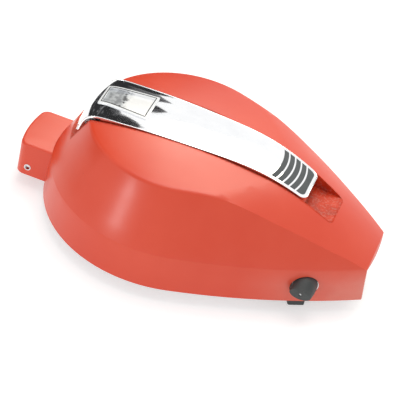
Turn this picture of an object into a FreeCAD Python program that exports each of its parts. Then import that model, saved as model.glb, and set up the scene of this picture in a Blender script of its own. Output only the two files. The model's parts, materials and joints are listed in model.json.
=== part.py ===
import FreeCAD, Part
import math
import os

from FreeCAD import Vector

# Small motorcycle fuel tank with a hinged chrome console lid over the filler.
# Lengths are in millimetres. The pieces are modelled about the centre of the front
# circle of the plan, at the height of the rim, and are moved to the row frame when
# they are written: its origin is the middle of the front pivot bore, +X points to
# the tail and +Z up.

# body
nose_r = 125.0
tail_x = 211.9
tail_half = 31.7
side_r = 692.0
tail_bulge = 2.0
skirt_height = 37.5
crease_nose_in = 2.9
crease_tail_in = 3.2
crease_tail_out = 0.2
crease_nose_r = nose_r - crease_nose_in
crease_tail_x = tail_x - crease_tail_in
crease_tail_half = tail_half + crease_tail_out
crease_side_r = 622.5
wall_slope = 0.497
wall_tail_slope = 0.4
roof_apex = 105.6
roof_r = 462.5
sheet = 2.0
roof_edge_round = 6.0
crease_round = 1.5
roof_edge_drop = 13.0
roof_edge_rise = 3.0
roof_edge_end_back = 62.5

# tail ramp: a centre line that bends from the roof's slope to the tail's, and a crowned section
ramp_bend_back = 89.4
ramp_bend_x = tail_x - ramp_bend_back
roof_edge_end_x = ramp_bend_x - roof_edge_end_back
ramp_bend_z = 94.25
ramp_bend_soft = 31.25
ramp_front_slope = -0.20
ramp_tail_slope = -0.595
ramp_front_section_r = 282.0
ramp_fade_back = 29.5
ramp_fade_x = ramp_bend_x - ramp_fade_back
ramp_tail_section_r = 128.0
ramp_extra_section_r = 91.0
ramp_section_fade = 24.0
ramp_half = 118.0
ramp_front_stations = [-12.0, 15.0, 42.0, 67.0]
ramp_rear_backs = [115.9, 99.9, 81.9, 61.9, 39.9, 15.9, -13.1]
ramp_rear_stations = [tail_x - back for back in ramp_rear_backs]

# front pivot lug
pivot_x = -140.75
pivot_z = 9.5
lug_front_x = -155.5
lug_bow = 4.0
lug_half = 31.25
lug_high = 36.5
lug_corner_r = 9.0
lug_edge_round = 2.5
lug_wall = 3.5
bush_bore_r = 2.5
bush_wall = 1.0
bush_proud = 0.3

# bay under the lid
bay_floor = 67.5
bay_front_half = 36.6
bay_mid_x = 24.0
bay_mid_half = 31.6
bay_rear_back = 50.0
bay_rear_x = tail_x - bay_rear_back
bay_rear_half = 20.6
bay_corner_r = 5.0
bay_overrun = 10.0
tray_sheet = 1.5

# console lid
lid_gap = 1.5
lid_rear_x = 132.5
lid_corner_r = 8.0
lid_crown_r = 162.0
lid_sheet = 1.8
lid_flange_deep = 6.0
lid_flange_wall = 1.6
lid_flange_front_x = -76.0
lid_sections = 18
lid_spare_half = 4.0
lid_above = 25.0
lid_line = [
    (-101.5, 80.0),
    (-99.4, 87.4),
    (-94.5, 97.0),
    (-86.0, 103.2),
    (-70.0, 105.9),
    (-27.0, 107.6),
    (24.0, 107.0),
    (83.75, 102.0),
    (105.5, 96.1),
    (119.4, 90.9),
    (137.0, 82.9),
]

# badge recess in the lid
badge_front_x = -84.0
badge_front_half = 12.3
badge_rear_x = -38.9
badge_rear_half = 16.4
badge_frame_wide = 3.0
badge_frame_proud = 1.2
badge_plate_thick = 1.2
badge_plate_lap = 2.5

# finger grip in the lid
grip_front_x = 94.5
grip_pitch = 6.5
grip_bands = 5
grip_ridge = 1.6
grip_bow_r = 67.0
grip_bow = 3.7
grip_bow_span = 12.0
grip_margin = 2.8
grip_pocket = 0.9
grip_sink = 0.15

# lid hinge
hinge_x = -87.5
hinge_z = 86.0
hinge_pin_r = 2.5
running_gap = 0.05
free_gap = 0.4
arm_mid_y = 21.5
arm_thick = 3.0
arm_boss_r = 5.0
arm_rear_x = -36.0
arm_rear_deep = 6.0
arm_toe = 3.5
arm_top_back = 1.0
arm_over = 5.0
bracket_sheet = 2.0
bracket_gap = 1.0
bracket_front_x = -80.0
bracket_rear_x = -62.0
bracket_foot = 4.0
bracket_ear_r = 6.0
bracket_ear_x = 3.5
bracket_ear_z = 5.0
clip_r = 4.2
clip_thick = 0.9
clip_step = 1.0
buffer_x = 104.0
buffer_y = 12.0
buffer_r = 4.0

# filler
filler_x = 10.0
neck_r = 21.0
neck_wall = 2.0
neck_low = 58.0
neck_high = 80.0
neck_flange_wide = 5.0
neck_flange_r = neck_r + neck_flange_wide
neck_flange_thick = 1.5
lip_thick = 2.0
lip_wide = 4.0
lip_r = neck_r - lip_wide
lip_notch_half = 5.0
cap_clear = 1.5
cap_wall = 2.5
cap_r = neck_r + cap_clear + cap_wall
cap_low = 72.0
cap_high = 97.0
cap_top = 4.0
cap_flutes = 14
cap_flute_r = 2.4
cap_round = 2.0
gasket_thick = 3.0
disc_thick = 2.0
stem_r = 6.0
latch_thick = 2.6
latch_half = 4.0
spring_r = 13.0
spring_bore_r = 7.0
spring_thick = 1.0
spring_clear = 0.1
vent_r = 2.5
vent_head_r = 4.0
vent_head_thick = 1.2
drain_x = 62.0
drain_y = 25.0
drain_r = 3.5
drain_bore_r = 2.3
drain_below = 6.0

# pan, baffles and tunnel
pan_low = 8.0
pan_sheet = 2.0
tunnel_r = 18.0
step_back = 93.9
step_x = tail_x - step_back
step_under = 1.5
step_z = skirt_height - step_under
tail_open_under = 0.5
tail_open_high = step_z - tail_open_under
tail_open_half = 30.0
tail_open_deep = 8.0
tail_notch_long = 18.0
baffle_thick = 1.5
front_baffle_x = -45.0
rear_baffle_back = 34.0
rear_baffle_x = step_x - rear_baffle_back
baffle_hole_r = 7.0
baffle_hole_y = 58.0
baffle_hole_z = 34.0
baffle_slack = 0.5
pad_thick = 3.0
pad_long = 60.0
pad_wide = 14.0
pad_front_x = -70.0
pad_rear_x = 50.0

# fuel tap
tap_back = 52.9
tap_x = tail_x - tap_back
tap_z = 17.75
tap_stub_y = -43.0
tap_hole_r = 12.5
tap_front_y = -54.0
tap_back_y = -30.0
tap_half_x = 10.0
tap_body_low = 6.0
tap_body_under = 6.0
tap_body_high = step_z - tap_body_under
tap_flange_r = 10.5
tap_flange_thick = 3.0
tap_stub_r = 7.0
tap_stub_over = 10.0
tap_stub_high = step_z + tap_stub_over
nut_flats = 19.0
nut_thick = 5.0
spindle_r = 4.0
spindle_port_r = 2.0
spindle_inner_y = -38.0
seal_r = 6.0
seal_wide = 2.5
knob_hub_r = 11.7
knob_back_y = -57.5
knob_hub_y = -67.0
knob_end_y = -77.5
knob_end_half_x = 10.7
knob_end_half_z = 5.5
knob_round = 0.8
knob_screw_r = 1.6
knob_screw_sink = 1.0
knob_slot_half = 0.3
knob_slot_deep = 0.6
bowl_back = 7.0
bowl_x = tap_x - bowl_back
bowl_y = -50.0
bowl_half_long = 8.4
bowl_half_wide = 7.5
bowl_low = -13.8
bowl_round = 2.0
bowl_wall = 1.6
bowl_seal_thick = 1.5
standpipe_r = 3.0
standpipe_bore_r = 2.2
standpipe_lift = 2.0
standpipe_over = 9.0
standpipe_high = tap_stub_high + standpipe_over
strainer_r = 5.5
strainer_wall = 0.8
strainer_over = 1.5
outlet_r = 4.0
outlet_bore_r = 2.5
outlet_behind = 4.5
outlet_x = tap_x + outlet_behind
outlet_y = -35.5
outlet_long = 17.0

# rear mounting
bracket_back = 23.9
bracket_x = tail_x - bracket_back
stud_spacing_x = 16.0
stud_spacing_y = 36.0
stud_r = 3.0
stud_root_r = 4.0
stud_neck = 1.5
stud_low = 10.0
rear_plate_half_x = 13.0
rear_plate_half_y = 26.0
rear_plate_corner_r = 4.0
rear_plate_thick = 3.0
cushion_thick = 3.0

# far enough past everything, and the slack for picking edges by their boxes
reach = 400.0
cut_over = 2.0
pick_slack = 1.0
level_slack = 0.1


def write(name, shape):
    """Write one node, moved into the row frame."""
    os.makedirs("parts", exist_ok=True)
    placed = shape.copy()
    placed.translate(Vector(-pivot_x, 0, -pivot_z))
    placed.exportStep("parts/" + name + ".step")


def group(shapes):
    return Part.makeCompound(shapes)


def box(x0, x1, y0, y1, z0, z1):
    return Part.makeBox(x1 - x0, y1 - y0, z1 - z0, Vector(x0, y0, z0))


def rod(radius, start, end):
    """Cylinder from one point to another."""
    along = end - start
    return Part.makeCylinder(radius, along.Length, start, along)


def tube(radius, bore, start, end):
    return rod(radius, start, end).cut(rod(bore, start, end))


def polygon(points):
    return Part.makePolygon(points + [points[0]])


def prism(face, height):
    return face.extrude(Vector(0, 0, height))


def lowest(shape):
    """The solid that reaches lowest, where a cut leaves an offcut above."""
    return min(shape.Solids, key=lambda solid: solid.BoundBox.ZMin)


def round_edges(solid, radius, chosen):
    """Fillet the edges that the test picks."""
    edges = [edge for edge in solid.Edges if chosen(edge.BoundBox)]
    return solid.makeFillet(radius, edges)


def upright(b):
    """True for the box of a tall edge of a prism."""
    return b.ZLength > reach / 2 and b.YLength < pick_slack


# ---------------------------------------------------------------- body outline


def side_centre(nose, side, tail, half):
    """Centre of the side arc that is tangent to the nose circle and meets the tail corner."""
    out = math.hypot(tail, half)
    offset = side - nose
    along = (offset**2 + out**2 - side**2) / (2 * out)
    across = math.sqrt(offset**2 - along**2)
    return Vector((along * tail + across * half) / out, (along * half - across * tail) / out, 0)


def plan_wire(nose, side, centre, tail, z):
    """Teardrop: nose arc, two tangent side arcs and a slightly bowed tail."""
    half = centre.y + math.sqrt(side**2 - (tail - centre.x) ** 2)
    touch = centre * (-nose / centre.Length)
    end = Vector(tail, half, 0)
    middle = centre + ((touch - centre) + (end - centre)).normalize() * side
    lift = Vector(0, 0, z)

    def far(point):
        return Vector(point.x, -point.y, point.z)

    arcs = [
        (far(touch), Vector(-nose, 0, 0), touch),
        (touch, middle, end),
        (end, Vector(tail + tail_bulge, 0, 0), far(end)),
        (far(end), far(middle), far(touch)),
    ]
    return Part.Wire([Part.Arc(*[p + lift for p in arc]).toShape() for arc in arcs])


def ramp_height(x):
    """Height of the ramp's centre line."""
    run = x - ramp_bend_x
    bent = (run + math.hypot(run, ramp_bend_soft)) / 2
    return ramp_bend_z + ramp_front_slope * run + (ramp_tail_slope - ramp_front_slope) * bent


def ramp_section_r(x):
    """Section radius: constant under the roof's edge, and fading to the tail's behind it."""
    if x < ramp_fade_x:
        return ramp_front_section_r
    return ramp_tail_section_r + ramp_extra_section_r * math.exp((ramp_fade_x - x) / ramp_section_fade)


def above_ramp(inset):
    """Everything over the crowned tail ramp."""
    ceiling = roof_apex + nose_r
    wires = []
    for x in ramp_front_stations + ramp_rear_stations:
        z = ramp_height(x) - inset
        r = ramp_section_r(x) - inset
        drop = r - math.sqrt(r**2 - ramp_half**2)
        left = Vector(x, -ramp_half, z - drop)
        right = Vector(x, ramp_half, z - drop)
        high_left = Vector(x, -ramp_half, ceiling)
        high_right = Vector(x, ramp_half, ceiling)
        edges = [
            Part.Arc(left, Vector(x, 0, z), right).toShape(),
            Part.LineSegment(right, high_right).toShape(),
            Part.LineSegment(high_right, high_left).toShape(),
            Part.LineSegment(high_left, left).toShape(),
        ]
        wires.append(Part.Wire(edges))
    return Part.makeLoft(wires, True, False)


def side_walls(inset, bottom):
    """Skirt and leaning walls, up past the roof."""
    rim_centre = side_centre(nose_r, side_r, tail_x, tail_half)
    crease_centre = side_centre(crease_nose_r, crease_side_r, crease_tail_x, crease_tail_half)
    wall_top = roof_apex + sheet
    rise = wall_top - skirt_height
    lean = wall_slope * rise + inset
    top_tail_x = crease_tail_x - rise * wall_tail_slope - inset
    rim = plan_wire(nose_r - inset, side_r - inset, rim_centre, tail_x - inset, bottom)
    crease = plan_wire(
        crease_nose_r - inset, crease_side_r - inset, crease_centre, crease_tail_x - inset, skirt_height
    )
    top = plan_wire(crease_nose_r - lean, crease_side_r - lean, crease_centre, top_tail_x, wall_top)
    skirt = Part.makeLoft([rim, crease], True, True)
    walls = Part.makeLoft([crease, top], True, True)
    return skirt.fuse(walls).removeSplitter()


def under_roof(walls, inset):
    """The walls' solid cut down to the domed roof and the tail ramp."""
    roof = Part.makeSphere(roof_r - inset, Vector(0, 0, roof_apex - roof_r))
    return walls.common(roof).cut(above_ramp(inset))


def hull(inset, bottom):
    """Solid inside the body's outer surface, drawn in by the inset, down to the bottom height."""
    return under_roof(side_walls(inset, bottom), inset)


def outer_body():
    """The body's outer solid with its edges softened."""
    walls = round_edges(
        side_walls(0, 0),
        crease_round,
        lambda b: (b.ZLength > skirt_height - pick_slack and b.XMin > nose_r)
        or (abs(b.ZMin - skirt_height) < level_slack and b.ZLength < level_slack),
    )
    return round_edges(
        under_roof(walls, 0),
        roof_edge_round,
        lambda b: b.ZMin > roof_apex - roof_edge_drop
        and b.ZLength < roof_edge_rise
        and b.YLength > pick_slack
        and b.XMax < roof_edge_end_x,
    )


# ---------------------------------------------------------------- bay and lid tools


def bay_face(grow):
    """Plan of the bay, open past the nose, its sides one long arc each."""
    front_x = -nose_r - bay_overrun
    front = Vector(front_x, bay_front_half, 0)
    middle = Vector(bay_mid_x, bay_mid_half, 0)
    rear = Vector(bay_rear_x, bay_rear_half, 0)

    def far(point):
        return Vector(point.x, -point.y, point.z)

    edges = [
        Part.Arc(front, middle, rear).toShape(),
        Part.LineSegment(rear, far(rear)).toShape(),
        Part.Arc(far(rear), far(middle), far(front)).toShape(),
        Part.LineSegment(far(front), front).toShape(),
    ]
    face = Part.Face(Part.Wire(edges))
    if grow:
        face = face.makeOffset2D(grow, 2)
    return face


def bay_prism(grow, low):
    face = bay_face(grow)
    face.translate(Vector(0, 0, low))
    solid = prism(face, reach)
    corner = bay_rear_x + grow
    return round_edges(solid, bay_corner_r + grow, lambda b: upright(b) and b.XMin > corner - pick_slack)


def lid_plan(inset):
    """Upright prism of the lid's plan, drawn in by the inset."""
    side = prism(bay_face(-lid_gap - inset), reach)
    rear_x = lid_rear_x - inset
    solid = side.common(box(-reach, rear_x, -reach, reach, 0, reach))
    corner_r = lid_corner_r - inset
    return round_edges(solid, corner_r, lambda b: upright(b) and b.XMin > rear_x - pick_slack)


def lid_strip(top, bottom):
    """Crowned strip along the lid's line, between two depths below its top surface."""
    line = Part.BSplineCurve()
    line.interpolate([Vector(x, 0, z) for x, z in lid_line])
    half = bay_front_half + lid_spare_half
    wires = []
    for step in range(lid_sections + 1):
        at = line.FirstParameter + (line.LastParameter - line.FirstParameter) * step / lid_sections
        centre = line.value(at)
        along = line.tangent(at)[0]
        out = Vector(-along.z, 0, along.x)

        def arc(depth):
            r = lid_crown_r - depth
            drop = r - math.sqrt(r**2 - half**2)
            ends = [centre - out * (depth + drop) + Vector(0, side * half, 0) for side in (-1, 1)]
            return ends[0], centre - out * depth, ends[1]

        upper = arc(top)
        lower = arc(bottom)
        edges = [
            Part.Arc(*upper).toShape(),
            Part.LineSegment(upper[2], lower[2]).toShape(),
            Part.Arc(*lower[::-1]).toShape(),
            Part.LineSegment(lower[0], upper[0]).toShape(),
        ]
        wires.append(Part.Wire(edges))
    return Part.makeLoft(wires, True, False)


# ---------------------------------------------------------------- tank body


def pan_spaces(grow):
    """Room under the pan: the low part, the frame tunnel and the raised tail."""
    low = box(-reach, reach, -reach, reach, -reach, pan_low + grow)
    tunnel = rod(tunnel_r + grow, Vector(-reach, 0, pan_low), Vector(step_x + grow, 0, pan_low))
    tail = box(step_x - grow, reach, -reach, reach, -reach, step_z + grow)
    return low.fuse([tunnel, tail]).removeSplitter()


def tank_shell(outer, inner):
    """Skin with the bay opening, the tap hole, the frame tube's notch and the open tail.

    The far side of the skirt stops short of the tail, where the cable and hose pass.
    """
    skin = outer.cut(inner).cut(bay_prism(tray_sheet, bay_floor - tray_sheet))
    tap_hole = rod(tap_hole_r, Vector(tap_x, 0, tap_z), Vector(tap_x, -reach, tap_z))
    notch = rod(tunnel_r, Vector(-reach, 0, pan_low), Vector(0, 0, pan_low))
    notch = notch.fuse(box(-reach, 0, -tunnel_r, tunnel_r, -reach, pan_low))
    tail_x0 = crease_tail_x - tail_open_deep
    tail = box(tail_x0, reach, -tail_open_half, tail_open_half, -reach, tail_open_high)
    far_side = box(tail_x - tail_notch_long, reach, 0, reach, -reach, tail_open_high)
    return skin.cut([tap_hole, notch, tail, far_side])


def lid_tray(outer):
    """Sheet tray that walls the bay off from the fuel."""
    tray = bay_prism(tray_sheet, bay_floor - tray_sheet).cut(bay_prism(0, bay_floor)).common(outer)
    neck_hole = rod(neck_r, Vector(filler_x, 0, 0), Vector(filler_x, 0, reach))
    drain_hole = rod(drain_r, Vector(drain_x, drain_y, 0), Vector(drain_x, drain_y, reach))
    return tray.cut(neck_hole.fuse(drain_hole))


def lug_solid(inset):
    """Flat-topped block with a bowed nose and rounded upright front corners."""
    half = lug_half - inset
    nose_x = lug_front_x + inset
    corner_x = nose_x + lug_bow
    low = -inset
    bow = Part.Arc(Vector(corner_x, half, low), Vector(nose_x, 0, low), Vector(corner_x, -half, low))
    corners = [(corner_x, -half), (0, -half), (0, half), (corner_x, half)]
    sides = Part.makePolygon([Vector(x, y, low) for x, y in corners])
    outline = Part.Wire([bow.toShape()] + sides.Edges)
    block = prism(Part.Face(outline), lug_high)
    front_x = corner_x + pick_slack
    return round_edges(
        block,
        lug_corner_r - inset,
        lambda b: b.ZLength > lug_high / 2 and b.XMax < front_x and b.YLength < pick_slack,
    )


def front_lug(outer):
    """Hollow lug, open below, with the pivot hole through both cheeks."""
    lug = lug_solid(0)
    top = lug_high - level_slack
    lug = round_edges(lug, lug_edge_round, lambda b: b.ZMin > top and b.XMin < -pick_slack)
    lug = lug.cut(lug_solid(lug_wall))
    hole_r = bush_bore_r + bush_wall
    hole = rod(hole_r, Vector(pivot_x, -reach, pivot_z), Vector(pivot_x, reach, pivot_z))
    return lug.cut(hole).cut(outer)


def lug_bushes():
    """Plain steel bush in each cheek, a little proud of it."""
    shapes = []
    for side in (-1, 1):
        inner_end = Vector(pivot_x, side * (lug_half - lug_wall), pivot_z)
        outer_end = Vector(pivot_x, side * (lug_half + bush_proud), pivot_z)
        shapes.append(tube(bush_bore_r + bush_wall, bush_bore_r, inner_end, outer_end))
    return group(shapes)


def bottom_pan(inner):
    """Formed sheet that closes the tank, with a frame tunnel and a raised tail."""
    pan = inner.common(pan_spaces(pan_sheet).cut(pan_spaces(0)))
    stub = rod(tap_stub_r, Vector(tap_x, tap_stub_y, 0), Vector(tap_x, tap_stub_y, reach))
    drain = rod(drain_r, Vector(drain_x, drain_y, -reach), Vector(drain_x, drain_y, reach))
    return pan.cut(stub.fuse(drain))


def baffle(x, slack_inner):
    """Plate across the tank with three flow holes."""
    plate = box(x, x + baffle_thick, -reach, reach, 0, reach).common(slack_inner)
    plate = plate.cut(pan_spaces(pan_sheet)).cut(bay_prism(tray_sheet, bay_floor - tray_sheet))
    for y in (-baffle_hole_y, 0, baffle_hole_y):
        z = baffle_hole_z + (0 if y else baffle_hole_r * 2)
        plate = plate.cut(rod(baffle_hole_r, Vector(x - 1, y, z), Vector(x + baffle_thick + 1, y, z)))
    return plate


def tunnel_pads():
    """Rubber strips that sit on the frame tube."""
    shapes = []
    for x in (pad_front_x, pad_rear_x):
        ring = tube(
            tunnel_r, tunnel_r - pad_thick, Vector(x, 0, pan_low), Vector(x + pad_long, 0, pan_low)
        )
        shapes.append(ring.common(box(x, x + pad_long, -pad_wide, pad_wide, pan_low + pad_thick, reach)))
    return group(shapes)


# ---------------------------------------------------------------- filler


def filler_neck():
    """Neck through the tray with a floor flange and a notched lip for the cap's latch."""
    foot = Vector(filler_x, 0, neck_low)
    top = Vector(filler_x, 0, neck_high)
    floor = Vector(filler_x, 0, bay_floor)
    neck = rod(neck_r, foot, top)
    neck = neck.fuse(tube(neck_flange_r, neck_r, floor, floor + Vector(0, 0, neck_flange_thick)))
    neck = neck.cut(rod(neck_r - neck_wall, foot, top - Vector(0, 0, lip_thick)))
    neck = neck.cut(rod(lip_r, foot, top))
    slot = box(-reach, reach, -lip_notch_half, lip_notch_half, neck_low, neck_high)
    slot = slot.common(rod(neck_r - neck_wall, Vector(0, 0, neck_low), Vector(0, 0, neck_high)))
    slot.translate(Vector(filler_x, 0, 0))
    return neck.cut(slot).removeSplitter()


def filler_cap():
    """Fluted cap shell that drops over the neck."""
    low = Vector(filler_x, 0, cap_low)
    high = Vector(filler_x, 0, cap_high)
    cap = rod(cap_r, low, high)
    cap = round_edges(cap, cap_round, lambda b: b.ZMin > cap_high - level_slack)
    out = Vector(cap_r + cap_flute_r / 2, 0, 0)
    flute = rod(cap_flute_r, low + out, high + out)
    for turn in range(cap_flutes):
        copy = flute.copy()
        copy.rotate(low, Vector(0, 0, 1), 360.0 * turn / cap_flutes)
        cap = cap.cut(copy)
    cap = cap.cut(rod(cap_r - cap_wall, low, high - Vector(0, 0, cap_top)))
    return cap.cut(rod(vent_r, low, high))


def cap_stack():
    """Levels of the gasket, the disc and the underside of the cap's top."""
    gasket_low = neck_high + free_gap
    disc_low = gasket_low + gasket_thick
    return gasket_low, disc_low, disc_low + disc_thick, cap_high - cap_top


def cap_gasket():
    low, high = cap_stack()[:2]
    return tube(neck_r, stem_r, Vector(filler_x, 0, low), Vector(filler_x, 0, high))


def cap_latch():
    """Disc, stem and cross bar that turns under the neck's lip."""
    disc_low, disc_high = cap_stack()[1:3]
    bar_high = neck_high - lip_thick - free_gap
    bar_low = bar_high - latch_thick
    centre = Vector(filler_x, 0, 0)

    def at(z):
        return centre + Vector(0, 0, z)

    bar_r = neck_r - neck_wall - free_gap
    bar = box(-bar_r, bar_r, -latch_half, latch_half, bar_low, bar_high)
    bar = bar.common(rod(bar_r, Vector(0, 0, bar_low), Vector(0, 0, bar_high)))
    bar.rotate(Vector(0, 0, 0), Vector(0, 0, 1), 90)
    bar.translate(centre)
    solid = rod(stem_r, at(bar_low), at(disc_high)).fuse(rod(neck_r, at(disc_low), at(disc_high))).fuse(bar)
    return solid.cut(rod(vent_r, at(bar_low), at(disc_high))).removeSplitter()


def cap_spring():
    """Coned disc spring between the disc and the cap's top."""
    low, high = cap_stack()[2:]
    foot = low + spring_clear
    head = high - spring_clear - spring_thick
    outline = [
        Vector(spring_r, 0, foot),
        Vector(spring_r, 0, foot + spring_thick),
        Vector(spring_bore_r, 0, head + spring_thick),
        Vector(spring_bore_r, 0, head),
    ]
    profile = Part.Face(polygon(outline))
    spring = profile.revolve(Vector(0, 0, 0), Vector(0, 0, 1), 360)
    spring.translate(Vector(filler_x, 0, 0))
    return spring


def cap_vent():
    """Rubber breather plug in the middle of the cap."""
    head_low = Vector(filler_x, 0, cap_high)
    stem_low = Vector(filler_x, 0, cap_high - cap_top)
    head = rod(vent_head_r, head_low, head_low + Vector(0, 0, vent_head_thick))
    return rod(vent_r, stem_low, head_low).fuse(head).removeSplitter()


def drain_tube():
    """Carries rain and spilt fuel from the bay floor to below the pan."""
    low = Vector(drain_x, drain_y, pan_low - drain_below)
    return tube(drain_r, drain_bore_r, low, Vector(drain_x, drain_y, bay_floor))


# ---------------------------------------------------------------- console lid


def badge_prism(grow):
    points = [
        Vector(badge_front_x, -badge_front_half, 0),
        Vector(badge_rear_x, -badge_rear_half, 0),
        Vector(badge_rear_x, badge_rear_half, 0),
        Vector(badge_front_x, badge_front_half, 0),
    ]
    face = Part.Face(polygon(points))
    if grow:
        face = face.makeOffset2D(grow, 2)
    return prism(face, reach)


def grip_prism(front_x, rear_x):
    """Upright band across the lid between two bowed edges, inside the grip's margin."""
    high = Vector(0, 0, reach)
    bow = grip_bow_r - grip_bow
    front = Vector(front_x - bow, 0, 0)
    rear = Vector(rear_x - bow, 0, 0)
    band = rod(grip_bow_r, rear, rear + high).cut(rod(grip_bow_r, front, front + high))
    half_space = box(front_x - grip_bow_span, reach, -reach, reach, 0, reach)
    return band.common(half_space).common(lid_plan(grip_margin))


def grip_shapes(depth_top, depth_bottom):
    """The grip's dark bands, the last one running out to the lid's end."""
    strip = lid_strip(depth_top, depth_bottom)
    shapes = []
    for index in range(grip_bands):
        front_x = grip_front_x + index * grip_pitch
        rear_x = front_x + grip_pitch - grip_ridge
        if index == grip_bands - 1:
            rear_x = lid_rear_x + grip_bow
        shapes.append(strip.common(grip_prism(front_x, rear_x)))
    return shapes


def console_lid():
    """Thin crowned strip with a turned-down flange, the badge window and the grip pockets."""
    block = lid_strip(0, lid_flange_deep).common(lid_plan(0))
    rim = lid_plan(-lid_gap).cut(lid_plan(lid_flange_wall))
    rim = rim.common(box(lid_flange_front_x, reach, -reach, reach, 0, reach))
    hollow = lid_strip(lid_sheet, lid_flange_deep + cut_over).cut(rim)
    lid = block.cut(hollow).cut(badge_prism(0))
    for pocket in grip_shapes(-cut_over, grip_pocket):
        lid = lid.cut(pocket)
    return lid


def badge_frame():
    """Raised border round the badge window."""
    border = badge_prism(badge_frame_wide).cut(badge_prism(0))
    return lid_strip(-badge_frame_proud, 0).common(border).cut(lid_strip(0, lid_flange_deep))


def badge_plate():
    """Blank plate behind the window."""
    return lid_strip(lid_sheet, lid_sheet + badge_plate_thick).common(badge_prism(badge_plate_lap))


def over_lid():
    """Everything above the underside of the lid's sheet."""
    return lid_strip(-lid_above, lid_sheet)


def hinge_line(y):
    return Vector(hinge_x, y, hinge_z)


def arm_span(side):
    low = side * arm_mid_y - arm_thick / 2
    return low, low + arm_thick


def hinge_arms():
    """Two arms from the hinge pin to feet under the lid."""
    shapes = []
    cover = over_lid()
    top = roof_apex + arm_over
    for side in (-1, 1):
        y0, y1 = arm_span(side)
        boss = rod(arm_boss_r, hinge_line(y0), hinge_line(y1))
        outline = [
            Vector(hinge_x - arm_boss_r, y0, hinge_z),
            Vector(hinge_x + arm_toe, y0, hinge_z - arm_toe),
            Vector(arm_rear_x, y0, hinge_z + arm_rear_deep),
            Vector(arm_rear_x, y0, top),
            Vector(hinge_x - arm_top_back, y0, top),
        ]
        web = Part.Face(polygon(outline)).extrude(Vector(0, arm_thick, 0))
        arm = boss.fuse(web).cut(cover)
        arm = arm.cut(rod(hinge_pin_r + running_gap, hinge_line(y0 - 1), hinge_line(y1 + 1)))
        shapes.append(lowest(arm))
    return group(shapes)


def bracket_cheek():
    """Side of the bracket: leans forward from the base to the pin, clear of the lid's front edge."""
    foot = bay_floor + bracket_foot
    outline = [
        Vector(bracket_front_x, 0, bay_floor),
        Vector(bracket_rear_x, 0, bay_floor),
        Vector(bracket_rear_x, 0, foot),
        Vector(hinge_x + bracket_ear_x, 0, hinge_z + bracket_ear_z),
        Vector(hinge_x - bracket_ear_x, 0, hinge_z - bracket_ear_z),
        Vector(bracket_front_x, 0, foot),
    ]
    ear = rod(bracket_ear_r, hinge_line(0), hinge_line(bracket_sheet))
    return Part.Face(polygon(outline)).extrude(Vector(0, bracket_sheet, 0)).fuse(ear)


def hinge_bracket():
    """Folded bracket on the bay floor that holds the hinge pin."""
    y_in = arm_mid_y + arm_thick / 2 + bracket_gap
    y_out = y_in + bracket_sheet
    bracket = box(bracket_front_x, bracket_rear_x, -y_out, y_out, bay_floor, bay_floor + bracket_sheet)
    for y in (-y_out, y_in):
        cheek = bracket_cheek()
        cheek.translate(Vector(0, y, 0))
        bracket = bracket.fuse(cheek)
    pin = rod(hinge_pin_r, hinge_line(-y_out - 1), hinge_line(y_out + 1))
    return bracket.cut(pin).removeSplitter()


def pin_half():
    y_out = arm_mid_y + arm_thick / 2 + bracket_gap + bracket_sheet
    return y_out + clip_step + clip_thick + clip_step


def hinge_pin():
    return rod(hinge_pin_r, hinge_line(-pin_half()), hinge_line(pin_half()))


def hinge_clips():
    """Retaining ring near each end of the pin."""
    shapes = []
    for side in (-1, 1):
        y = side * (pin_half() - clip_step)
        shapes.append(tube(clip_r, hinge_pin_r, hinge_line(y), hinge_line(y - side * clip_thick)))
    return group(shapes)


def lid_buffers():
    """Rubber stops on the bay floor under the lid's rear end."""
    shapes = []
    cover = lid_strip(-lid_above, lid_sheet + free_gap)
    for side in (-1, 1):
        foot = Vector(buffer_x, side * buffer_y, bay_floor)
        top = Vector(buffer_x, side * buffer_y, roof_apex + lid_above / 2)
        shapes.append(rod(buffer_r, foot, top).cut(cover))
    return group([lowest(shape) for shape in shapes])


# ---------------------------------------------------------------- fuel tap


def tap_body():
    """Block under the raised tail with a threaded stub up into the tank."""
    block = box(
        tap_x - tap_half_x, tap_x + tap_half_x, tap_front_y, tap_back_y, tap_body_low, tap_body_high
    )
    stub_foot = Vector(tap_x, tap_stub_y, tap_body_high)
    collar_top = Vector(tap_x, tap_stub_y, tap_body_high + tap_flange_thick)
    stub_top = Vector(tap_x, tap_stub_y, tap_stub_high)
    body = block.fuse(rod(tap_flange_r, stub_foot, collar_top)).fuse(rod(tap_stub_r, stub_foot, stub_top))
    fuel_way = rod(standpipe_r, Vector(tap_x, tap_stub_y, tap_z), stub_top)
    return body.cut(spindle_space()).cut(fuel_way).removeSplitter()


def tap_line(y):
    return Vector(tap_x, y, tap_z)


def spindle_space():
    """Bore for the spindle, with a wider mouth for its seal."""
    bore = rod(spindle_r + running_gap, tap_line(tap_front_y), tap_line(spindle_inner_y + free_gap))
    mouth = rod(seal_r, tap_line(tap_front_y), tap_line(tap_front_y + seal_wide))
    return bore.fuse(mouth)


def spindle_seal():
    return tube(
        seal_r, spindle_r + running_gap, tap_line(tap_front_y), tap_line(tap_front_y + seal_wide)
    )


def tap_spindle():
    """Spindle with the cross port that lines up with the fuel way when open."""
    spindle = rod(spindle_r, tap_line(knob_back_y), tap_line(spindle_inner_y))
    centre = Vector(tap_x, tap_stub_y, tap_z)
    half = Vector(0, 0, 2 * spindle_r)
    port = rod(spindle_port_r, centre - half, centre + half)
    return spindle.cut(port)


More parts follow.
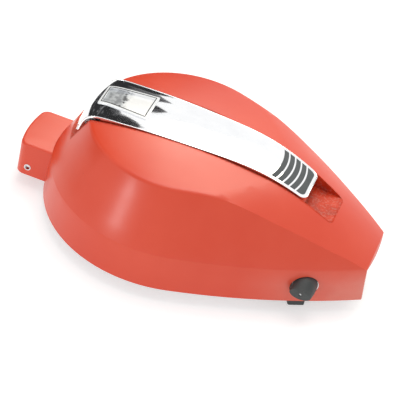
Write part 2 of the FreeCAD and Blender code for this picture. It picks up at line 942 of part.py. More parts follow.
def tap_knob():
    """Round hub that blends into an oval bar grip."""
    hub = rod(knob_hub_r, tap_line(knob_back_y), tap_line(knob_hub_y))
    across = Vector(0, -1, 0)
    base = Part.Circle(tap_line(knob_hub_y), across, knob_hub_r)
    end = Part.Ellipse(tap_line(knob_end_y), knob_end_half_x, knob_end_half_z)
    end.Axis = across
    wires = []
    for curve in (base, end):
        curve.XAxis = Vector(1, 0, 0)
        wires.append(Part.Wire([curve.toShape()]))
    grip = Part.makeLoft(wires, True, False)
    knob = hub.fuse(grip)
    knob = round_edges(knob, knob_round, lambda b: b.YMax < knob_end_y + level_slack)
    return knob.cut(rod(knob_screw_r, tap_line(knob_back_y), tap_line(knob_end_y)))


def knob_screw():
    """Screw on the knob's axis into the spindle, its head let into the end."""
    head_y = knob_end_y + knob_screw_sink
    shank = rod(knob_screw_r, tap_line(knob_back_y), tap_line(head_y))
    slot_low, slot_high = tap_z - knob_slot_half, tap_z + knob_slot_half
    slot = box(tap_x - reach, tap_x + reach, head_y, head_y + knob_slot_deep, slot_low, slot_high)
    return shank.cut(slot)


def tap_gasket():
    low = Vector(tap_x, tap_stub_y, tap_body_high + tap_flange_thick)
    return tube(tap_flange_r, tap_stub_r, low, Vector(tap_x, tap_stub_y, step_z))


def tap_nut():
    """Hexagon nut that clamps the tap to the pan."""
    foot = Vector(tap_x, tap_stub_y, step_z + pan_sheet)
    top = foot + Vector(0, 0, nut_thick)
    corner_r = nut_flats / math.sqrt(3)
    points = []
    for corner in range(6):
        angle = math.radians(60 * corner)
        points.append(foot + Vector(corner_r * math.cos(angle), corner_r * math.sin(angle), 0))
    nut = Part.Face(polygon(points)).extrude(top - foot)
    return nut.cut(rod(tap_stub_r, foot, top))


def bowl_box(inset, low, high):
    """Upright box square to the skirt beside it."""
    half_x = bowl_half_long - inset
    half_y = bowl_half_wide - inset
    block = box(bowl_x - half_x, bowl_x + half_x, bowl_y - half_y, bowl_y + half_y, low, high)
    block = round_edges(block, bowl_round, lambda b: b.ZLength > (high - low) / 2)
    rim_centre = side_centre(nose_r, side_r, tail_x, tail_half)
    run = bowl_x - rim_centre.x
    turn = math.degrees(math.asin(run / side_r))
    block.rotate(Vector(bowl_x, bowl_y, 0), Vector(0, 0, 1), turn)
    return block


def tap_bowl():
    """Sediment bowl that hangs just below the rim."""
    bowl_high = tap_body_low - bowl_seal_thick
    return bowl_box(0, bowl_low, bowl_high).cut(bowl_box(bowl_wall, bowl_low + bowl_wall, bowl_high))


def bowl_seal():
    bowl_high = tap_body_low - bowl_seal_thick
    return bowl_box(0, bowl_high, tap_body_low).cut(bowl_box(bowl_wall, bowl_high, tap_body_low))


def standpipe():
    low = Vector(tap_x, tap_stub_y, tap_z + spindle_r + standpipe_lift)
    return tube(standpipe_r, standpipe_bore_r, low, Vector(tap_x, tap_stub_y, standpipe_high))


def strainer():
    """Mesh sleeve over the standpipe, closed at the top."""
    low = Vector(tap_x, tap_stub_y, tap_stub_high)
    high = Vector(tap_x, tap_stub_y, standpipe_high + strainer_over)
    sleeve = rod(strainer_r, low, high)
    return sleeve.cut(rod(strainer_r - strainer_wall, low, high - Vector(0, 0, strainer_wall)))


def fuel_outlet():
    """Plain hose spigot under the tap."""
    start = Vector(outlet_x, outlet_y, tap_body_low)
    return tube(outlet_r, outlet_bore_r, start, start + Vector(0, 0, -outlet_long))


# ---------------------------------------------------------------- rear mounting


def stud_places():
    places = []
    for x in (-0.5, 0.5):
        for y in (-0.5, 0.5):
            places.append((bracket_x + x * stud_spacing_x, y * stud_spacing_y))
    return places


def rear_plate(low, high):
    plate = box(
        bracket_x - rear_plate_half_x,
        bracket_x + rear_plate_half_x,
        -rear_plate_half_y,
        rear_plate_half_y,
        low,
        high,
    )
    plate = round_edges(plate, rear_plate_corner_r, lambda b: b.ZLength > (high - low) / 2)
    for x, y in stud_places():
        plate = plate.cut(rod(stud_root_r, Vector(x, y, low), Vector(x, y, high)))
    return plate


def rear_bracket():
    """Steel plate welded under the raised tail."""
    return rear_plate(step_z - rear_plate_thick, step_z)


def rear_cushion():
    """Rubber between the plate and the frame."""
    high = step_z - rear_plate_thick
    return rear_plate(high - cushion_thick, high)


def rear_studs():
    shoulder = step_z - rear_plate_thick - cushion_thick - stud_neck
    studs = []
    for x, y in stud_places():
        root = rod(stud_root_r, Vector(x, y, shoulder), Vector(x, y, step_z))
        studs.append(root.fuse(rod(stud_r, Vector(x, y, stud_low), Vector(x, y, shoulder))))
    return group(studs)


def main():
    outer = outer_body()
    inner = hull(sheet, -1.0)
    slack_inner = hull(sheet + baffle_slack, -1.0)
    write("tank_shell", tank_shell(outer, inner))
    write("lid_tray", lid_tray(outer))
    write("front_lug", front_lug(outer))
    write("lug_bushes", lug_bushes())
    write("bottom_pan", bottom_pan(inner))
    write("front_baffle", baffle(front_baffle_x, slack_inner))
    write("rear_baffle", baffle(rear_baffle_x, slack_inner))
    write("tunnel_pads", tunnel_pads())
    write("filler_neck", filler_neck())
    write("filler_cap", filler_cap())
    write("cap_gasket", cap_gasket())
    write("cap_latch", cap_latch())
    write("cap_spring", cap_spring())
    write("cap_vent", cap_vent())
    write("drain_tube", drain_tube())
    write("console_lid", console_lid())
    write("badge_frame", badge_frame())
    write("badge_plate", badge_plate())
    write("grip_inlays", group(grip_shapes(grip_sink, grip_pocket)))
    write("hinge_arms", hinge_arms())
    write("hinge_bracket", hinge_bracket())
    write("hinge_pin", hinge_pin())
    write("hinge_clips", hinge_clips())
    write("lid_buffers", lid_buffers())
    write("tap_body", tap_body())
    write("tap_spindle", tap_spindle())
    write("spindle_seal", spindle_seal())
    write("tap_knob", tap_knob())
    write("knob_screw", knob_screw())
    write("tap_gasket", tap_gasket())
    write("tap_nut", tap_nut())
    write("tap_bowl", tap_bowl())
    write("bowl_seal", bowl_seal())
    write("standpipe", standpipe())
    write("strainer", strainer())
    write("fuel_outlet", fuel_outlet())
    write("rear_bracket", rear_bracket())
    write("rear_cushion", rear_cushion())
    write("rear_studs", rear_studs())


if __name__ == "__main__":
    main()
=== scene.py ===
import json
import math

import bmesh
import bpy
from mathutils import Matrix, Vector
from mathutils.bvhtree import BVHTree


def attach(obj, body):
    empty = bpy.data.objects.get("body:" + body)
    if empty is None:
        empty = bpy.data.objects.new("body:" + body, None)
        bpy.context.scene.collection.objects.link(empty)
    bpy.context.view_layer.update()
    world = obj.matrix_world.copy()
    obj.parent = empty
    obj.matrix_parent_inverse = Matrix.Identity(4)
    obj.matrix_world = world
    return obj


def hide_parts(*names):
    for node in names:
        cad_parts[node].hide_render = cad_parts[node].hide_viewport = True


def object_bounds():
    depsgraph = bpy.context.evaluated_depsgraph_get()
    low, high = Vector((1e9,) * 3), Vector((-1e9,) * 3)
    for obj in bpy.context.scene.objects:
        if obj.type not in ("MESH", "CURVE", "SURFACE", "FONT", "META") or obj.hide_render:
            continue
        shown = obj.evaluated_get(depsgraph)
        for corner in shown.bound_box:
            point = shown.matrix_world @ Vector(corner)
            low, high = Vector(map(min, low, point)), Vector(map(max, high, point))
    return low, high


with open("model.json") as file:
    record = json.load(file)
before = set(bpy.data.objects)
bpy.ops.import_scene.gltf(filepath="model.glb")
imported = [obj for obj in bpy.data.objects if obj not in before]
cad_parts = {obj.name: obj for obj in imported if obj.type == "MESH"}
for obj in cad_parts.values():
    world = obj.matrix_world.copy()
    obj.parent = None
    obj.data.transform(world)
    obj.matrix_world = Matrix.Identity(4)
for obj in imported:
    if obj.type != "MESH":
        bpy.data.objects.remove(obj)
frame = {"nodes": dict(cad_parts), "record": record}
bpy.ops.object.select_all(action="DESELECT")
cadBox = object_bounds()
print("frame loaded:", len(frame["nodes"]), "parts")

mm = 0.001
weldDistance = 0.02 * mm


class Signal:
    # a shader socket that can be added, multiplied and so on
    def __init__(self, tree, socket):
        self.tree = tree
        self.socket = socket

    def maths(self, operation, *others):
        node = self.tree.nodes.new("ShaderNodeMath")
        node.operation = operation
        for place, value in enumerate((self, *others)):
            connect(self.tree, node.inputs[place], value)
        return Signal(self.tree, node.outputs[0])

    def __add__(self, other):
        return self.maths("ADD", other)

    def __mul__(self, other):
        return self.maths("MULTIPLY", other)

    def __sub__(self, other):
        return self.maths("SUBTRACT", other)

    def __rsub__(self, other):
        return (self * -1).maths("ADD", other)

    def __gt__(self, other):
        return self.maths("GREATER_THAN", other)

    def clamped(self):
        node = self.maths("ADD", 0)
        node.socket.node.use_clamp = True
        return node


def connect(tree, socket, value):
    if isinstance(value, Signal):
        tree.links.new(value.socket, socket)
    elif socket.type == "RGBA":
        socket.default_value = (*value, 1)
    else:
        socket.default_value = value


class Finish:
    # one material being made: put() adds any node, set() fills the main shader
    def __init__(self, name):
        self.material = bpy.data.materials.new(name)
        self.material.use_nodes = True
        self.tree = self.material.node_tree
        self.shader = self.tree.nodes["Principled BSDF"]
        self.where = self.put("ShaderNodeTexCoord", output="Object")

    def put(self, kind, settings=None, output=0, **inputs):
        node = self.tree.nodes.new(kind)
        for key, value in (settings or {}).items():
            if key == "stops":
                fillRamp(node.color_ramp, value)
            else:
                setattr(node, key, value)
        for key, value in inputs.items():
            connect(self.tree, node.inputs[key.replace("_", " ")], value)
        return Signal(self.tree, node.outputs[output])

    def places(self):
        # the three coordinates, one signal each
        node = self.tree.nodes.new("ShaderNodeSeparateXYZ")
        connect(self.tree, node.inputs[0], self.where)
        return [Signal(self.tree, place) for place in node.outputs]

    def noise(self, scale, detail=3.0, roughness=0.55, stretch=(1, 1, 1)):
        spot = self.where
        if stretch != (1, 1, 1):
            spot = self.put("ShaderNodeMapping", Vector=self.where, Scale=stretch)
        return self.put(
            "ShaderNodeTexNoise", Vector=spot, Scale=scale, Detail=detail, Roughness=roughness
        )

    def ramp(self, amount, stops):
        return self.put("ShaderNodeValToRGB", {"stops": stops}, Fac=amount)

    def blend(self, amount, first, second):
        node = self.tree.nodes.new("ShaderNodeMix")
        node.data_type = "RGBA"
        connect(self.tree, node.inputs[0], amount)
        connect(self.tree, node.inputs[6], first)
        connect(self.tree, node.inputs[7], second)
        return Signal(self.tree, node.outputs[2])

    def bump(self, height, distance, strength):
        return self.put("ShaderNodeBump", Height=height, Distance=distance, Strength=strength)

    def set(self, **inputs):
        for key, value in inputs.items():
            connect(self.tree, self.shader.inputs[key.replace("_", " ")], value)
        return self.material


def fillRamp(ramp, stops):
    # a new ramp has two stops of its own, which are used first
    for place, (position, colour) in enumerate(stops):
        element = ramp.elements[place] if place < 2 else ramp.elements.new(position)
        element.position = position
        element.color = (*colour, 1)


def linear(red, green, blue):
    # a screen colour, 0-255 and none of it near black, turned into linear light
    return tuple(((level / 255 + 0.055) / 1.055) ** 2.4 for level in (red, green, blue))


def shade(colour, factor):
    return tuple(level * factor for level in colour)


# the finishes; noise() takes its scale, detail and roughness in that order
paint = {
    "colour": linear(213, 62, 28),
    "faded": linear(217, 70, 39),
    "deep": linear(208, 54, 18),
    "speck": linear(160, 32, 20),
    "roughness": 0.36,
    "coat": 0.25,
    "coatRoughness": 0.22,
    "fadeScale": 9.0,
    "peelScale": 420.0,
    "peelHeight": 0.02 * mm,
    "speckScale": 900.0,
    "speckRarity": 0.78,
    "speckStrength": 0.35,
    "wipeScale": 34,
    "wipeStrength": 0.16,
    # the six entries from here set the painted sheen at the skirt's rear: its mottle, its colour and the
    # zone where it shows
    "dustAndSheenScale": 24,
    "dustAndSheen": linear(216, 132, 118),
    "sheenStart": 0.24,
    "sheenLength": 0.11,
    "sheenTop": 0.03,
    "sheenDepth": 0.02,
}


def satinPaint():
    # clouded vermilion with dark specks, and a painted sheen low down at the skirt's rear end, standing in
    # for the floor's reflection there
    finish = Finish("satin vermilion paint")
    fade = finish.noise(paint["fadeScale"], 4)
    colour = finish.ramp(fade, [(0.3, paint["deep"]), (0.5, paint["colour"]), (0.72, paint["faded"])])
    specks = (finish.noise(paint["speckScale"], 1) > paint["speckRarity"]) * paint["speckStrength"]
    colour = finish.blend(specks, colour, paint["speck"])
    along, _, height = finish.places()
    # painted sheen: paler towards the rear and the bottom of the skirt, where the floor's reflection falls
    dustAndSheen = ((along - paint["sheenStart"]) * (1 / paint["sheenLength"])).clamped()
    dustAndSheen = dustAndSheen * ((paint["sheenTop"] - height) * (1 / paint["sheenDepth"])).clamped()
    colour = finish.blend(dustAndSheen * (finish.noise(paint["dustAndSheenScale"], 5, 0.6) + 0.05), colour, paint["dustAndSheen"])
    wipe = finish.noise(paint["wipeScale"], 5, 0.65, (1, 3, 1))
    peel = finish.bump(finish.noise(paint["peelScale"], 2, 0.5), paint["peelHeight"], 0.6)
    return finish.set(
        Base_Color=colour,
        Roughness=(wipe - 0.5) * paint["wipeStrength"] + paint["roughness"],
        Coat_Weight=paint["coat"],
        Coat_Roughness=paint["coatRoughness"],
        Specular_IOR_Level=0.45,
        Normal=peel,
    )


chrome = {
    "colour": (0.93, 0.935, 0.94),
    "haze": (0.80, 0.81, 0.83),
    "hazeScale": 26,
    "swirlStrength": 0.12,
    "roughness": 0.045,
    "waveScale": 42.0,
    "waveHeight": 0.12 * mm,
    "swirlScale": 130.0,
}


def mirrorChrome():
    # near-perfect mirror with polishing swirls and slow waves
    finish = Finish("mirror chrome plate")
    haze = finish.noise(chrome["hazeScale"], 6, 0.6)
    swirl = finish.noise(chrome["swirlScale"], 4, 0.7, (1, 9, 1))
    colour = finish.ramp(haze, [(0.35, chrome["colour"]), (0.85, chrome["haze"])])
    waves = finish.bump(finish.noise(chrome["waveScale"], 2, 0.5), chrome["waveHeight"], 0.5)
    return finish.set(
        Base_Color=colour,
        Metallic=1.0,
        Roughness=(swirl - 0.4).clamped() * chrome["swirlStrength"] + chrome["roughness"],
        Normal=waves,
    )


badge = {
    "bright": (0.62, 0.64, 0.66),
    "dark": (0.30, 0.31, 0.33),
    # the next two are painted: a bright reflection and a dark reflection band
    "paintedHighlight": (0.96, 0.96, 0.96),
    "paintedDarkReflection": (0.05, 0.05, 0.055),
    "paintedHighlightFrom": 76 * mm,
    "paintedHighlightOver": 5 * mm,
    "edgeWander": 12 * mm,
    "darkReflectionNarrow": 1.6,
    "darkReflectionStrength": 0.85,
    "grainHeight": 0.03 * mm,
    "roughness": 0.24,
}


def brushedBadge():
    # mottled grey at the front, with a painted reflection towards the rear: bright there, and a dark band
    # just before it
    finish = Finish("blank brushed badge plate")
    grain = finish.noise(60, 3, 0.6, (1, 26, 1))
    mottle = finish.noise(150, 4, 0.65)
    colour = finish.ramp(mottle, [(0.36, badge["dark"]), (0.58, badge["bright"])])
    # painted reflection: near-white towards the rear of the plate, with a wandering edge
    along = finish.places()[0] + (mottle - 0.5) * badge["edgeWander"]
    highlightShare = (along - badge["paintedHighlightFrom"]) * (1 / badge["paintedHighlightOver"])
    colour = finish.blend(highlightShare.clamped(), colour, badge["paintedHighlight"])
    # painted dark reflection: a broken dark band just in front of the bright part
    paintedDarkReflection = (1 - highlightShare * highlightShare * badge["darkReflectionNarrow"]).clamped() * (finish.noise(110, 3, 0.6) > 0.52)
    colour = finish.blend(paintedDarkReflection * badge["darkReflectionStrength"], colour, badge["paintedDarkReflection"])
    lines = finish.bump(grain, badge["grainHeight"], 0.6)
    return finish.set(
        Base_Color=colour, Metallic=0.4, Roughness=grain * 0.2 + badge["roughness"], Normal=lines
    )


moulding = {"bloomScale": 45, "scuffScale": 210, "scuffRarity": 0.7, "scuffStrength": 0.25}


def moulded(name, colour, dusty, roughness, grainScale, grainHeight):
    # rubber and plastic: fine moulded grain, a bloom of dust and paler scuffs
    finish = Finish(name)
    bloom = finish.noise(moulding["bloomScale"], 5, 0.65)
    tone = finish.ramp(bloom, [(0.35, colour), (0.8, dusty)])
    scuff = finish.noise(moulding["scuffScale"], 2, 0.5, (1, 1, 6)) > moulding["scuffRarity"]
    tone = finish.blend(scuff * moulding["scuffStrength"], tone, dusty)
    grain = finish.bump(finish.noise(grainScale, 2, 0.5), grainHeight, 0.7)
    return finish.set(
        Base_Color=tone,
        Roughness=(bloom - 0.5) * 0.2 + roughness,
        Specular_IOR_Level=0.4,
        Normal=grain,
    )


plating = {"cloudScale": 18, "scratchHeight": 0.02 * mm}


def platedSteel(name, bright, dull, roughness, grainScale, stretch):
    # bare or plated metal: broad clouding, fine drawn or turned grain
    finish = Finish(name)
    clouds = finish.noise(plating["cloudScale"], 5, 0.6)
    grain = finish.noise(grainScale, 3, 0.6, stretch)
    tone = finish.ramp(clouds, [(0.3, bright), (0.75, dull)])
    scratches = finish.bump(grain, plating["scratchHeight"], 0.5)
    return finish.set(
        Base_Color=tone, Metallic=1.0, Roughness=(grain - 0.5) * 0.2 + roughness, Normal=scratches
    )


zinc = {
    "bright": (0.58, 0.59, 0.60),
    "dull": (0.40, 0.41, 0.42),
    "cloudScale": 30,
    "pitScale": 380,
    "pitDepth": 0.06 * mm,
    "roughness": 0.38,
}


def castZinc():
    # cloudy grey with fine casting pits
    finish = Finish("die-cast zinc")
    pits = finish.noise(zinc["pitScale"], 3, 0.6)
    clouds = finish.noise(zinc["cloudScale"], 4, 0.6)
    tone = finish.ramp(clouds, [(0.3, zinc["bright"]), (0.8, zinc["dull"])])
    skin = finish.bump(pits, zinc["pitDepth"], 0.6)
    return finish.set(
        Base_Color=tone, Metallic=1.0, Roughness=clouds * 0.2 + zinc["roughness"], Normal=skin
    )


silver = {
    # near-white base: painted highlight
    "paintedBright": (0.96, 0.97, 0.99),
    "handled": (0.86, 0.88, 0.90),
    "markScale": 90,
    "grainScale": 500,
    "grainHeight": 0.01 * mm,
    "roughness": 0.2,
}


def whiteSilver():
    # pale satin border, near-white so that it shows bright from every side: a painted highlight standing
    # in for what its edges catch, with faint handling marks
    finish = Finish("pale satin silver")
    marks = finish.noise(silver["markScale"], 4, 0.6)
    tone = finish.ramp(marks, [(0.35, silver["paintedBright"]), (0.8, silver["handled"])])
    fine = finish.bump(finish.noise(silver["grainScale"], 2, 0.5), silver["grainHeight"], 0.5)
    return finish.set(
        Base_Color=tone, Metallic=0.15, Roughness=marks * 0.15 + silver["roughness"], Normal=fine
    )


bay = {
    # the darkest tone in the bay: grime and painted shade
    "grimeAndShade": (0.34, 0.07, 0.05),
    "grimeAndShadeScale": 55,
    "dustAndSheen": (0.55, 0.34, 0.28),
    "dustAndSheenScale": 380,
    "dustRarity": 0.55,
    "dustStrength": 0.16,
    "lumpScale": 300,
    "lumpHeight": 0.04 * mm,
    "roughness": 0.4,
}


def bayPaint():
    # the same paint inside the bay, darkened in patches: partly grime, partly painted shade standing in
    # for the bay's shadow
    finish = Finish("bay paint with grime and painted shade")
    # painted shade mixed with grime: the bay darkens in patches towards a deep brownish red
    grimeAndShade = finish.noise(bay["grimeAndShadeScale"], 6, 0.65)
    tone = finish.ramp(
        grimeAndShade, [(0.32, paint["colour"]), (0.55, shade(paint["deep"], 0.85)), (0.75, bay["grimeAndShade"])]
    )
    dustAndSheen = (finish.noise(bay["dustAndSheenScale"], 3, 0.6) > bay["dustRarity"]) * bay["dustStrength"]
    tone = finish.blend(dustAndSheen, tone, bay["dustAndSheen"])
    lumps = finish.bump(finish.noise(bay["lumpScale"], 3, 0.6), bay["lumpHeight"], 0.6)
    return finish.set(
        Base_Color=tone,
        Roughness=grimeAndShade * 0.3 + bay["roughness"],
        Specular_IOR_Level=0.3,
        Normal=lumps,
    )


slotFinish = {
    "body_paint": satinPaint(),
    "bright_chrome": mirrorChrome(),
    "badge_metal": brushedBadge(),
    "grip_rubber": moulded("grip rubber", linear(66, 71, 74), linear(86, 90, 92), 0.62, 900, 0.03 * mm),
    "knob_plastic": moulded("knob plastic", linear(54, 57, 57), linear(74, 77, 77), 0.46, 1100, 0.02 * mm),
    "zinc_steel": platedSteel(
        "dull zinc plate", (0.56, 0.58, 0.60), (0.40, 0.42, 0.43), 0.42, 160, (1, 5, 1)
    ),
    "bright_steel": platedSteel(
        "bright turned steel", (0.76, 0.77, 0.78), (0.60, 0.61, 0.62), 0.24, 240, (1, 1, 12)
    ),
    "cast_zinc": castZinc(),
    "brass": platedSteel("turned brass", (0.86, 0.66, 0.33), (0.62, 0.44, 0.20), 0.28, 240, (1, 1, 12)),
    "neck_steel": platedSteel(
        "pressed bright steel", (0.66, 0.67, 0.69), (0.50, 0.51, 0.53), 0.30, 200, (4, 4, 1)
    ),
    "black_rubber": moulded("black rubber", linear(34, 34, 35), linear(58, 58, 58), 0.62, 700, 0.04 * mm),
}

for subpart in frame["record"]["subparts"]:
    node = frame["nodes"][subpart["node"]]
    node.data.materials.clear()
    node.data.materials.append(slotFinish[subpart["material_slot"]])
print("finishes made:", len(slotFinish))


# the pieces that stand in for a part's own surface or are added to it
beadSteps = 3


def startPiece(name, mesh):
    # a fresh object, active and alone selected, ready for edit-mode tools
    bpy.ops.object.select_all(action="DESELECT")
    piece = bpy.data.objects.new(name, mesh)
    bpy.context.collection.objects.link(piece)
    bpy.context.view_layer.objects.active = piece
    piece.select_set(True)
    return piece


def smoothCopy(nodeName, pieceName, body, smoothBelow):
    # the part's own surface welded and shaded smoothly, standing in for its loose triangles
    piece = startPiece(pieceName, frame["nodes"][nodeName].data.copy())
    bpy.ops.object.mode_set(mode="EDIT")
    bpy.ops.mesh.select_all(action="SELECT")
    bpy.ops.mesh.remove_doubles(threshold=weldDistance)
    bpy.ops.mesh.customdata_custom_splitnormals_clear()
    bpy.ops.object.mode_set(mode="OBJECT")
    bpy.ops.object.shade_smooth_by_angle(angle=math.radians(smoothBelow))
    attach(piece, body)
    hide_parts(nodeName)
    return piece


def roundWire(name, wire, radius, body, slotName):
    # a round bead along the edges of a wire mesh
    startPiece(name, wire)
    bpy.ops.object.convert(target="CURVE")
    bead = bpy.context.object
    bead.data.bevel_depth = radius
    bead.data.bevel_resolution = beadSteps
    bead.data.use_fill_caps = True
    bpy.ops.object.convert(target="MESH")
    bead = bpy.context.object
    bpy.ops.object.shade_smooth()
    bead.data.materials.clear()
    bead.data.materials.append(slotFinish[slotName])
    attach(bead, body)


badgeBorder = {"rounding": 0.7 * mm, "steps": 4, "cornerAngle": 50}


def badgeSurround():
    # the window's border with its edges rolled over
    piece = smoothCopy("badge_frame", "badge_surround", "lid", 40)
    roll = piece.modifiers.new("roll", "BEVEL")
    roll.width = badgeBorder["rounding"]
    roll.segments = badgeBorder["steps"]
    roll.limit_method = "ANGLE"
    roll.angle_limit = math.radians(badgeBorder["cornerAngle"])
    bpy.ops.object.modifier_apply(modifier="roll")
    piece.data.materials.clear()
    piece.data.materials.append(whiteSilver())


badgeSeal = {
    "frontX": 56.2 * mm,
    "rearX": 102.4 * mm,
    "frontHalf": 12.8 * mm,
    "rearHalf": 16.9 * mm,
    "radius": 0.45 * mm,
    "steps": 10,
}


def badgeSealRing():
    # thin dark bead of sealer along the inner edge of the border
    border = frame["nodes"]["badge_frame"].data
    skin = BVHTree.FromPolygons(
        [vert.co for vert in border.vertices], [face.vertices for face in border.polygons]
    )
    front = (badgeSeal["frontX"], badgeSeal["frontHalf"])
    rear = (badgeSeal["rearX"], badgeSeal["rearHalf"])
    overhead = cadBox[1].z + 1
    corners = []
    for side, (x, half) in ((-1, front), (-1, rear), (1, rear), (1, front)):
        corners.append(Vector((x, side * half, overhead)))
    places = []
    for start, end in zip(corners, corners[1:] + corners[:1]):
        for step in range(badgeSeal["steps"]):
            above = start.lerp(end, step / badgeSeal["steps"])
            places.append(skin.ray_cast(above, Vector((0, 0, -1)))[0])
    count = len(places)
    wire = bpy.data.meshes.new("badge_seal")
    wire.from_pydata(places, [(place, (place + 1) % count) for place in range(count)], [])
    roundWire("badge_seal", wire, badgeSeal["radius"], "lid", "black_rubber")


lidBead = {
    "radius": 0.5 * mm,
    "cornerAngle": 50,
    "leastUp": 0.3,
    "leastOutward": 0.35,
    "rearX": 268 * mm,
}


def lidEdgeBead():
    # polished roll along the outer top edge of the lid
    mesh = frame["nodes"]["console_lid"].data
    work = bmesh.new()
    work.from_mesh(mesh)
    bmesh.ops.remove_doubles(work, verts=work.verts, dist=weldDistance)
    kept = []
    for edge in work.edges:
        if len(edge.link_faces) != 2:
            continue
        top, side = sorted(edge.link_faces, key=lambda face: -face.normal.z)
        middle = (edge.verts[0].co + edge.verts[1].co) / 2
        outward = Vector((0, math.copysign(1, middle.y), 0))
        if middle.x > lidBead["rearX"]:
            outward = Vector((1, outward.y, 0)).normalized()
        sharp = top.normal.angle(side.normal) > math.radians(lidBead["cornerAngle"])
        upward = top.normal.z > lidBead["leastUp"]
        if sharp and upward and side.normal.dot(outward) > lidBead["leastOutward"]:
            kept.append([tuple(vert.co) for vert in edge.verts])
    work.free()
    places = sorted({place for pair in kept for place in pair})
    number = {place: index for index, place in enumerate(places)}
    wire = bpy.data.meshes.new("lid_edge_bead")
    wire.from_pydata(places, [[number[place] for place in pair] for pair in kept], [])
    roundWire("lid_edge_bead", wire, lidBead["radius"], "lid", "bright_chrome")


frame["nodes"]["lid_tray"].data.materials[0] = bayPaint()
badgeSurround()
badgeSealRing()
lidEdgeBead()
for nodeName, body, slotName, smoothBelow in (
    ("tank_shell", "tank", "body_paint", 26),
    ("front_lug", "tank", "body_paint", 40),
    ("lid_tray", "tank", "body_paint", 30),
    ("console_lid", "lid", "bright_chrome", 30),
    ("tap_knob", "tap", "knob_plastic", 35),
):
    smoothCopy(nodeName, nodeName + "_skin", body, smoothBelow)
print("pieces made")


# floor, light and camera
studio = {
    "floorHalf": 6.0,
    "floorColour": (0.72, 0.72, 0.72),
    "floorGap": 0.5 * mm,
    "floorRoughness": 0.9,
    "floorGlow": 0.5,
    "sky": 0.62,
    "skyShown": 1.1,
}
softboxes = {
    # name: compass direction and height in degrees, distance, size, power, colour
    "overhead softbox": (95, 84, 1.9, 1.2, 8.6, (1, 0.99, 0.96)),
    "far softbox": (80, 54, 2.0, 1.3, 14.5, (1, 0.96, 0.82)),
    "near softbox": (-119, 11.0, 1.9, 0.35, 4.3, (1, 1, 1)),
    "back softbox": (104, 41, 2.0, 0.7, 6.5, (1, 0.96, 0.82)),
}
# this lamp lights the painted pieces only, so that the chrome doesn't mirror it
paintOnly = "back softbox"
paintedPieces = ("tank_shell_skin", "front_lug_skin", "lid_tray_skin")
darkCards = {
    # name: compass and height of the right edge's foot and head, width, overrun, raggedness
    "left dark card": ((100.5, 19), (113.5, 51), 2.2, 1.0, 0.13),
    "front dark card": ((160, -9), (160, 25), 1.6, 0.0, 0.0),
}
cardDistance = 2.4
# how far each point of a card's ragged edge steps in or out, as a share of its raggedness
cardTeeth = (0.1, -0.9, 0.2, 0.9, -0.1, 0.6, -0.7, -0.3, 0.8, 0.3, -0.6, 0.5, -0.2)
aimPoint = Vector((0.12, 0, 0.07))


def out(compass, height, distance):
    # a place in that direction from the tank
    compass, height = math.radians(compass), math.radians(height)
    flat = math.cos(height)
    return aimPoint + distance * Vector(
        (flat * math.cos(compass), flat * math.sin(compass), math.sin(height))
    )


def addFloor():
    bpy.ops.mesh.primitive_plane_add(
        size=2 * studio["floorHalf"], location=(0, 0, cadBox[0].z - studio["floorGap"])
    )
    floor = bpy.context.object
    floor.name = "pale_floor"
    finish = Finish("pale floor")
    paper = finish.set(
        Base_Color=studio["floorColour"],
        Roughness=studio["floorRoughness"],
        Emission_Color=(1, 1, 1),
        Emission_Strength=studio["floorGlow"],
    )
    floor.data.materials.append(paper)


def aimed(place):
    return (aimPoint - place).to_track_quat("-Z", "Y").to_euler()


def addSoftboxes():
    painted = bpy.data.collections.new("painted pieces")
    for pieceName in paintedPieces:
        painted.objects.link(bpy.data.objects[pieceName])
    for name, (compass, height, distance, size, power, colour) in softboxes.items():
        place = out(compass, height, distance)
        bpy.ops.object.light_add(type="AREA", location=place, rotation=aimed(place))
        lamp = bpy.context.object
        lamp.name = name
        lamp.data.shape = "DISK"
        lamp.data.size = size
        lamp.data.energy = power
        lamp.data.color = colour
        if name == paintOnly:
            lamp.light_linking.receiver_collection = painted


board = {
    "black": (0.01, 0.01, 0.012),
    "grey": (0.4, 0.4, 0.42),
    "patchScale": 2.6,
    "roughness": 0.9,
}


def patchyBlack():
    # mostly black, with a few soft grey gaps, so that the mirrored edge is broken up
    finish = Finish("patchy black board")
    patches = finish.noise(board["patchScale"], 5, 0.6)
    tone = finish.ramp(patches, [(0.54, board["black"]), (0.72, board["grey"])])
    return finish.set(Base_Color=tone, Roughness=board["roughness"])


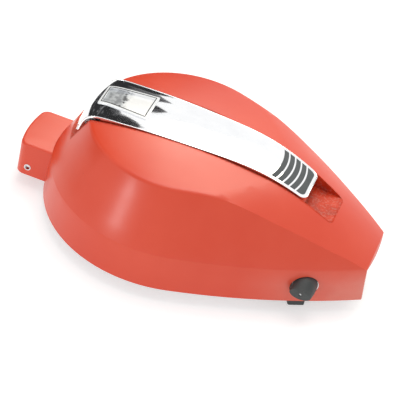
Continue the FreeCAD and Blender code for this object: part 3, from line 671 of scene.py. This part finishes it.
def addDarkCards():
    # boards out of the camera's view, there only for the chrome to mirror
    black = patchyBlack()
    for name, (foot, head, width, overrun, ragged) in darkCards.items():
        low, high = (out(*corner, cardDistance) for corner in (foot, head))
        up = (high - low).normalized()
        toAim = (aimPoint - (low + high) / 2).normalized()
        left = toAim.cross(up)
        low, high = low - up * overrun, high + up * overrun
        corners = [high + left * width, low + left * width, low]
        for step, tooth in enumerate(cardTeeth, 1):
            corners.append(low.lerp(high, step / (len(cardTeeth) + 1)) + left * tooth * ragged)
        corners.append(high)
        mesh = bpy.data.meshes.new(name)
        mesh.from_pydata(corners, [], [range(len(corners))])
        card = bpy.data.objects.new(name.replace(" ", "_"), mesh)
        bpy.context.collection.objects.link(card)
        card.data.materials.append(black)
        card.visible_camera = False
        card.visible_diffuse = False
        card.visible_shadow = False


def addSky():
    # white where it is seen or mirrored, dimmer as a source of soft light
    world = bpy.data.worlds.new("studio")
    world.use_nodes = True
    nodes = world.node_tree.nodes
    backdrop = nodes["Background"]
    backdrop.inputs["Color"].default_value = (1, 1, 1, 1)
    soft = Signal(world.node_tree, nodes.new("ShaderNodeLightPath").outputs["Is Diffuse Ray"])
    strength = studio["skyShown"] - soft * (studio["skyShown"] - studio["sky"])
    connect(world.node_tree, backdrop.inputs["Strength"], strength)
    bpy.context.scene.world = world


view = {
    "azimuth": 11.806,
    "elevation": 39.162,
    "roll": 12.832,
    "yaw": 1.11,
    "pitch": 0.204,
    "distance": 1.9636,
    "aim": (140.75 * mm, 0, -9.5 * mm),
    "lens": 171.8,
    "sensor": 36.0,
}


def addCamera():
    azimuth, elevation = math.radians(view["azimuth"]), math.radians(view["elevation"])
    back = Vector(
        (
            math.sin(azimuth) * math.cos(elevation),
            -math.cos(azimuth) * math.cos(elevation),
            math.sin(elevation),
        )
    )
    spin = Matrix.Rotation(math.radians(-view["yaw"]), 3, "Y")
    tip = Matrix.Rotation(math.radians(view["pitch"]), 3, "X")
    roll = Matrix.Rotation(math.radians(view["roll"]), 3, "Z")
    level = (-back).to_track_quat("-Z", "Y").to_matrix()
    bpy.ops.object.camera_add(location=Vector(view["aim"]) + back * view["distance"])
    camera = bpy.context.object
    camera.rotation_euler = (level @ spin @ tip @ roll).to_euler()
    camera.data.lens = view["lens"]
    camera.data.sensor_width = view["sensor"]
    bpy.context.scene.camera = camera


addFloor()
addSoftboxes()
addDarkCards()
addSky()
addCamera()
bpy.context.scene.view_settings.view_transform = "Standard"
print("studio set")
